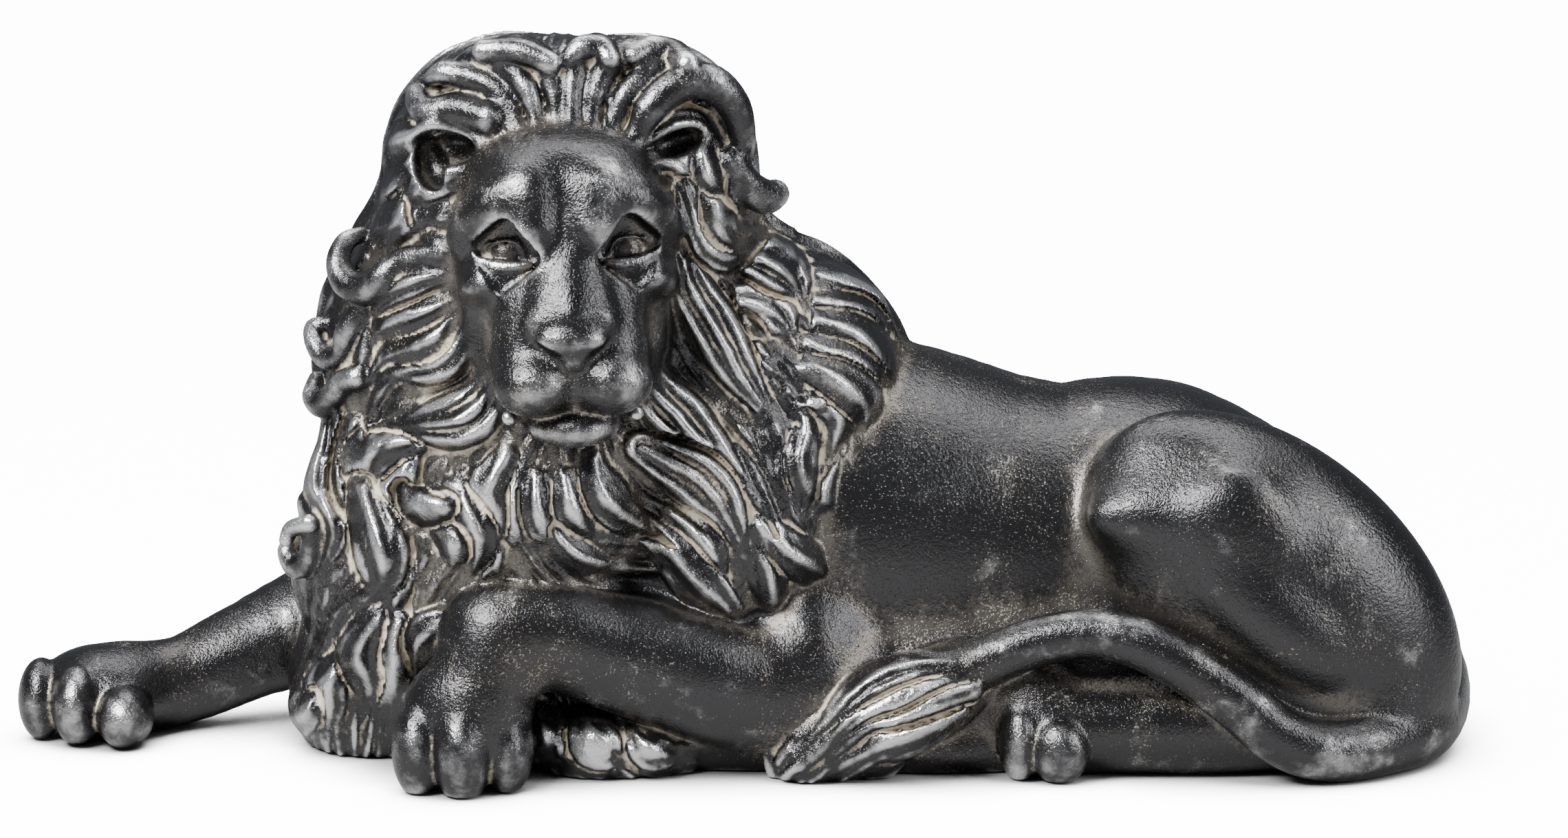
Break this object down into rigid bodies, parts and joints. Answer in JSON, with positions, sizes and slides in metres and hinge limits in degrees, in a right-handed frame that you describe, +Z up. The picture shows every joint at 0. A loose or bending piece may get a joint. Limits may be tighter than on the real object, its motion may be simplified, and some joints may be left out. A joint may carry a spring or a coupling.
{
  "type": "lion statue",
  "caption": "Lying lion with a thick wavy mane, head turned to the viewer, one foreleg stretched out, the other folded and the tail curled round to its side.",
  "frame": {"origin": "centre of the bounding box, on the ground plane that the lion rests on", "axes": "+X from the stretched forepaw towards the rump, +Y away from the side that the face turns to, +Z up"},
  "size_m": [0.6896, 0.271, 0.3402],
  "materials": {
    "iron": "blackened, worn bright on the high places, pale dust in the hollows"
  },
  "bodies": {
    "root": {"lion": "iron"}
  },
  "joints": []
}
